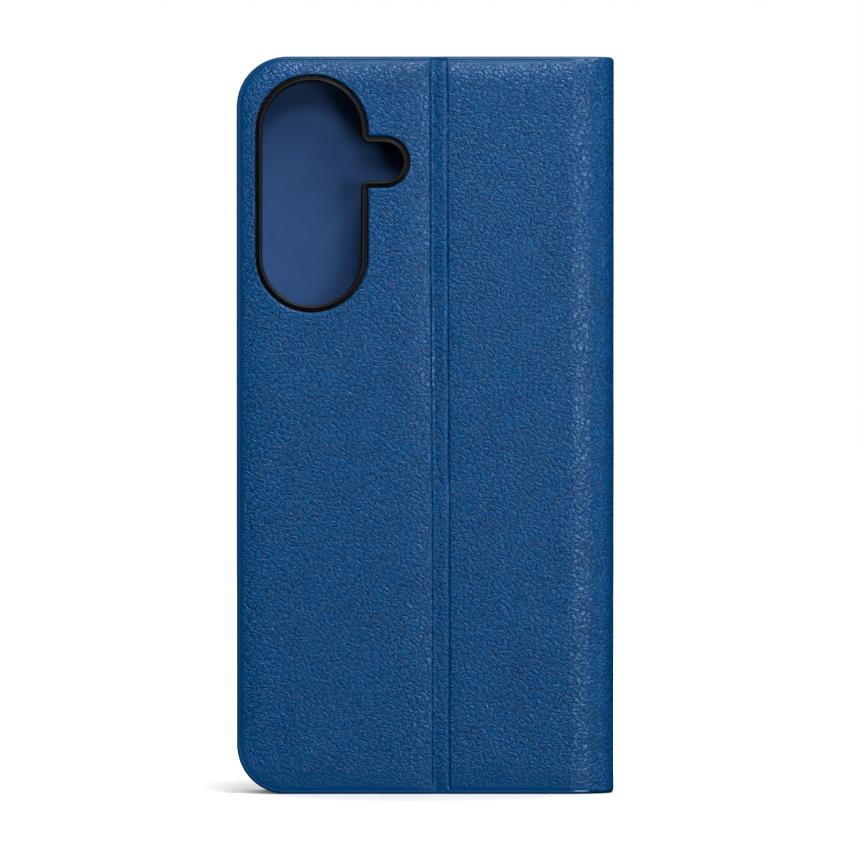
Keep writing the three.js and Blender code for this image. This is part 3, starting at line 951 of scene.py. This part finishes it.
def leather_material():
    """Blue leather-look sheet with a raised pebble grain, whose strength the mesh stores. Its colour has
    painted shade in the valleys between the pebbles.
    """
    made, tree, shader = new_material("pebbled_leather", LEATHER_COLOUR, 0.26, 0.35)
    shader.inputs["Specular Tint"].default_value = (0.68, 0.88, 1, 1)
    place_node = node(tree, "ShaderNodeAttribute", attribute_name="sheet_place")
    strength = node(tree, "ShaderNodeAttribute", attribute_name="grain").outputs["Fac"]
    wander = node(
        tree,
        "ShaderNodeTexNoise",
        {"Vector": place_node.outputs["Vector"], "Scale": 0.8, "Detail": 3.0},
    )
    shifted = node(
        tree,
        "ShaderNodeVectorMath",
        {0: wander.outputs["Color"], 1: (2.4, 2.4, 0.0)},
        operation="MULTIPLY",
    )
    warped = node(
        tree,
        "ShaderNodeVectorMath",
        {0: place_node.outputs["Vector"], 1: shifted.outputs[0]},
        operation="ADD",
    )
    leaning = node(
        tree,
        "ShaderNodeMapping",
        {"Vector": warped.outputs[0], "Rotation": (0, 0, math.radians(-30)), "Scale": (1.45, 0.85, 1)},
        vector_type="TEXTURE",
    )
    pebbles = node(
        tree,
        "ShaderNodeTexVoronoi",
        {"Vector": leaning.outputs[0], "Scale": 1.0, "Randomness": 0.9},
        voronoi_dimensions="2D",
        feature="DISTANCE_TO_EDGE",
    ).outputs["Distance"]
    domes = node(
        tree,
        "ShaderNodeTexVoronoi",
        {"Vector": leaning.outputs[0], "Scale": 1.0, "Randomness": 0.9, "Smoothness": 0.6},
        voronoi_dimensions="2D",
        feature="SMOOTH_F1",
    ).outputs["Distance"]
    small = node(
        tree,
        "ShaderNodeTexVoronoi",
        {"Vector": warped.outputs[0], "Scale": 2.0},
        voronoi_dimensions="2D",
        feature="SMOOTH_F1",
    ).outputs["Distance"]
    fine = node(
        tree,
        "ShaderNodeTexNoise",
        {"Vector": place_node.outputs["Vector"], "Scale": 4.5, "Detail": 3.0},
    ).outputs["Fac"]
    patches = node(
        tree,
        "ShaderNodeTexNoise",
        {"Vector": place_node.outputs["Vector"], "Scale": 0.12, "Detail": 2.0},
    ).outputs["Fac"]

    valley = node(
        tree,
        "ShaderNodeMapRange",
        {"Value": pebbles, "From Min": 0.0, "From Max": 0.2, "To Min": 0.0, "To Max": 1.0},
        interpolation_type="SMOOTHSTEP",
    ).outputs[0]
    raised = blend_values(tree, "MULTIPLY", valley, 0.7)
    raised = blend_values(tree, "MULTIPLY_ADD", domes, -0.7, raised)
    raised = blend_values(tree, "MULTIPLY_ADD", small, -0.25, raised)
    raised = blend_values(tree, "MULTIPLY", raised, strength)
    height = blend_values(tree, "MULTIPLY_ADD", fine, 0.03, raised)
    bump = node(tree, "ShaderNodeBump", {"Height": height, "Strength": 1.0, "Distance": GRAIN_HEIGHT * MM})
    tree.links.new(bump.outputs[0], shader.inputs["Normal"])

    # Painted shade: the valleys between the pebbles are coloured darker, and random patches add a mottle of
    # tone.
    tone = blend_values(tree, "MULTIPLY", valley, 0.6)
    tone = blend_values(tree, "MULTIPLY_ADD", patches, 0.3, tone)
    dark = tuple(value * 0.45 for value in LEATHER_COLOUR)
    light = tuple(value * 1.25 for value in LEATHER_COLOUR)
    shaded_and_mottled_colour = ramp(tree, tone, [(0.1, dark), (0.8, light)])
    smooth_edge = node(
        tree,
        "ShaderNodeMix",
        {0: strength, 6: tuple(0.85 * value for value in LEATHER_COLOUR) + (1,), 7: shaded_and_mottled_colour},
        data_type="RGBA",
    )
    tree.links.new(smooth_edge.outputs[2], shader.inputs["Base Color"])
    gloss = node(
        tree,
        "ShaderNodeMapRange",
        {"Value": fine, "From Min": 0.3, "From Max": 0.7, "To Min": 0.15, "To Max": 0.21},
    ).outputs[0]
    tree.links.new(gloss, shader.inputs["Roughness"])
    return made


def lining_material():
    """Navy microfibre: matt, with a short uneven nap."""
    made, tree, shader = new_material("microfibre_lining", LINING_COLOUR, 0.95, 0.1)
    shader.inputs["Sheen Weight"].default_value = 0.25
    shader.inputs["Sheen Roughness"].default_value = 0.5
    where = node(tree, "ShaderNodeAttribute", attribute_name="sheet_place").outputs["Vector"]
    nap = node(tree, "ShaderNodeTexNoise", {"Vector": where, "Scale": 5.0, "Detail": 4.0}).outputs["Fac"]
    brushed = node(tree, "ShaderNodeTexNoise", {"Vector": where, "Scale": 0.15, "Detail": 3.0}).outputs["Fac"]
    tone = blend_values(tree, "MULTIPLY_ADD", nap, 0.7, blend_values(tree, "MULTIPLY", brushed, 0.3))
    dark = tuple(value * 0.82 for value in LINING_COLOUR)
    light = tuple(value * 1.18 for value in LINING_COLOUR)
    tree.links.new(ramp(tree, tone, [(0.3, dark), (0.7, light)]), shader.inputs["Base Color"])
    bump = node(tree, "ShaderNodeBump", {"Height": nap, "Strength": 0.6, "Distance": 0.06 * MM})
    tree.links.new(bump.outputs[0], shader.inputs["Normal"])
    return made


def speckled_material(name, colour, roughness, specular, spread, size, relief, metallic=0.0):
    """A plain moulded, pressed or plated surface with fine specks of tone, gloss and relief."""
    made, tree, shader = new_material(name, colour, roughness, specular, metallic)
    where = node(tree, "ShaderNodeTexCoord").outputs["Object"]
    specks = node(
        tree, "ShaderNodeTexNoise", {"Vector": where, "Scale": 1 / (size * MM), "Detail": 4.0}
    ).outputs["Fac"]
    dark = tuple(value * (1 - spread) for value in colour)
    light = tuple(value * (1 + spread) for value in colour)
    tree.links.new(ramp(tree, specks, [(0.3, dark), (0.7, light)]), shader.inputs["Base Color"])
    gloss = node(
        tree,
        "ShaderNodeMapRange",
        {"Value": specks, "To Min": roughness - 0.06, "To Max": roughness + 0.06},
    ).outputs[0]
    tree.links.new(gloss, shader.inputs["Roughness"])
    bump = node(tree, "ShaderNodeBump", {"Height": specks, "Strength": 0.5, "Distance": relief * MM})
    tree.links.new(bump.outputs[0], shader.inputs["Normal"])
    return made


# ---------------------------------------------------------------- the object

leather = leather_material()
lining = lining_material()
moulded = speckled_material("satin_moulding", (0.004, 0.0038, 0.0042), 0.4, 0.2, 0.15, 0.4, 0.02)
board = speckled_material("grey_board", (0.25, 0.21, 0.16), 0.9, 0.2, 0.25, 0.5, 0.05)
film = speckled_material("adhesive_film", (0.58, 0.55, 0.46), 0.6, 0.4, 0.06, 2.0, 0.01)
nickel = speckled_material("nickel_plate", (0.46, 0.47, 0.48), 0.3, 0.5, 0.06, 0.8, 0.005, 1.0)
thread = speckled_material("sewing_thread", (0.02, 0.05, 0.13), 0.7, 0.3, 0.3, 0.12, 0.03)

SEAMS = [FREE_EDGE, (CREASE_A + CREASE_B) / 2, 22.0, (SPINE_FROM + SPINE_TO) / 2, SHEET_END]
BODIES = ["camera_half", "crease_strip", "stand_flap", "spine", "front_cover"]
HALF_BEND = 0.9

# The spine folds bend between two lines, clear of the boards and of the lining over them.
BEND_CLEARANCE = 1.1
BEND_DEPTH_AT_SPINE = 1.6
PANEL_LINE_X = FOLD_X + FOLD_MARGIN + BEND_CLEARANCE
PANEL_LINE_DEEP = 0.7
SPINE_LINE_X = SPINE_FACE - BEND_DEPTH_AT_SPINE
SPINE_LINE_DEEP = FOLD_DEPTH - BEND_CLEARANCE


def frame_point(x, deep):
    """Point in metres at mid height, from x and the depth below the back face."""
    return (x * MM, (BACK + deep) * MM, HEIGHT / 2 * MM)


BENDS = [
    (frame_point(CREASE_A - HALF_BEND, 0), frame_point(CREASE_A + HALF_BEND, 0)),
    (frame_point(CREASE_B - HALF_BEND, 0), frame_point(CREASE_B + HALF_BEND, 0)),
    (frame_point(PANEL_LINE_X, PANEL_LINE_DEEP), frame_point(SPINE_LINE_X, SPINE_LINE_DEEP)),
    (
        frame_point(SPINE_LINE_X, THICKNESS - SPINE_LINE_DEEP),
        frame_point(PANEL_LINE_X, THICKNESS - PANEL_LINE_DEEP),
    ),
]
LEATHER_NODES = [
    ["camera_half_skin"],
    ["crease_strip_skin"],
    ["stand_flap_skin", "spine_skin"],
    ["cover_skin"],
]
LINING_NODES = [
    ["camera_half_lining"],
    ["crease_strip_lining"],
    ["stand_flap_lining", "spine_lining"],
    ["cover_lining"],
]
STRETCHES = ["camera_half", "stand_crease", "spine_back", "front_cover"]
BOARDS = ["camera_half_board", "stand_flap_board", "spine_board", "cover_board"]

for index, stretch in enumerate(STRETCHES):
    place_and_bend = (*SEAMS[index : index + 2], BODIES[index : index + 2], BENDS[index])
    under = BOARDS[index]
    leather_piece(stretch + "_leather", *place_and_bend, LEATHER_NODES[index], under, leather)
    lining_piece(stretch + "_microfibre", *place_and_bend, LINING_NODES[index], under, lining)

pocket_piece("cash_pocket", cash_pocket_outline, lining)
for pocket in ("card_pocket_rear", "card_pocket_front"):
    pocket_piece(pocket, card_pocket_outline(pocket), leather)
    stitches(pocket + "_stitching", card_pocket_seam(pocket), box_mm(pocket)[0][1], thread)

phone_tray(moulded)
key_pad("volume_key_pad", "volume_key", moulded)
key_pad("power_key_pad", "power_key", moulded)

for name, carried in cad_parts.items():
    if not carried.hide_render:
        finish_of = {"board": board, "adhesive": film, "magnet": nickel}
        chosen = next(material for word, material in finish_of.items() if word in name)
        carried.data.materials.clear()
        carried.data.materials.append(chosen)

# ---------------------------------------------------------------- stage, light and camera

MIDDLE = Vector((0, 0, HEIGHT / 2 * MM))


def plane(name, low, high, material):
    """A flat rectangle between two corners in metres, which lies in a plane of the axes."""
    low, high = np.array(low, float), np.array(high, float)
    across = np.flatnonzero(high - low)
    corners = [low.copy() for _ in range(4)]
    corners[1][across[0]] = corners[2][across[0]] = high[across[0]]
    corners[2][across[1]] = corners[3][across[1]] = high[across[1]]
    made = add_object(name, corners, [(0, 1, 2, 3)], material)
    made.visible_diffuse = False
    made.visible_glossy = False


def floor_material():
    """Pale paper that glows as painted light, more the further it is from the case, so that it runs into the
    white background and stays darker near the case.
    """
    made, tree, shader = new_material("pale_floor", (0.93, 0.93, 0.93), 0.9, 0.2)
    where = node(tree, "ShaderNodeTexCoord").outputs["Object"]
    distance = node(tree, "ShaderNodeVectorMath", {0: where}, operation="LENGTH").outputs["Value"]
    # Painted light: the floor's glow grows with its distance from the point under the case.
    painted_glow = node(
        tree, "ShaderNodeMapRange", {"Value": distance, "From Min": 0.03, "From Max": 0.13}
    ).outputs[0]
    tree.links.new(painted_glow, shader.inputs["Emission Strength"])
    shader.inputs["Emission Color"].default_value = (1, 1, 1, 1)
    return made


def soft_box(name, location, size, power, diffuse=1.0, specular=1.0):
    """A rectangular area light that faces the middle of the case."""
    data = bpy.data.lights.new(name, "AREA")
    data.shape = "RECTANGLE"
    data.size, data.size_y = size
    data.energy = power
    data.diffuse_factor = diffuse
    data.specular_factor = specular
    made = bpy.data.objects.new(name, data)
    made.location = location
    made.rotation_mode = "QUATERNION"
    made.rotation_quaternion = (MIDDLE - made.location).to_track_quat("-Z", "Y")
    bpy.context.scene.collection.objects.link(made)


scene = bpy.context.scene
plane("floor", (-4, -4, 0), (4, 4, 0), floor_material())

world = bpy.data.worlds.new("studio")
scene.world = world
world.use_nodes = True
background = world.node_tree.nodes["Background"]
background.inputs["Color"].default_value = (1, 1, 1, 1)
background.inputs["Strength"].default_value = 1.0
world.cycles_visibility.diffuse = False
world.cycles_visibility.glossy = False

soft_box("key", (0.40, -0.5, 0.92), (0.6, 0.6), 8.6, specular=0.15)
soft_box("fill", (0.0, -1.2, 0.5), (0.8, 0.8), 1.0, specular=0.0)
soft_box("cover_fill", (-0.5, 1.0, 0.6), (0.8, 0.8), 8, specular=0.3)
soft_box("floor_light", (0.0, 0.1, 1.1), (1.2, 1.0), 6.8, specular=0.15)
soft_box("side_sheen", (0.3, -0.82, 0.1), (0.16, 0.24), 1.5, diffuse=0.0)
soft_box("upper_sheen", (0.04, -0.78, 0.49), (0.24, 0.16), 2.2, diffuse=0.0)
soft_box("edge_sheen", (0.8, -0.5, 0.1), (0.3, 0.6), 0.9, diffuse=0.0)

photo_camera = bpy.data.cameras.new("photo_camera")
photo_camera.sensor_width = 36
photo_camera.lens = 300
camera_object = bpy.data.objects.new("photo_camera", photo_camera)
scene.collection.objects.link(camera_object)
FRAME_MIDDLE = Vector((0.0008, BACK * MM, 0.0827))
CAMERA_DISTANCE = 1.618
camera_object.location = FRAME_MIDDLE + Vector((0, -CAMERA_DISTANCE, 0.021))
looking = FRAME_MIDDLE - camera_object.location
camera_object.rotation_euler = looking.to_track_quat("-Z", "Y").to_euler()
scene.camera = camera_object
scene.view_settings.view_transform = "Standard"
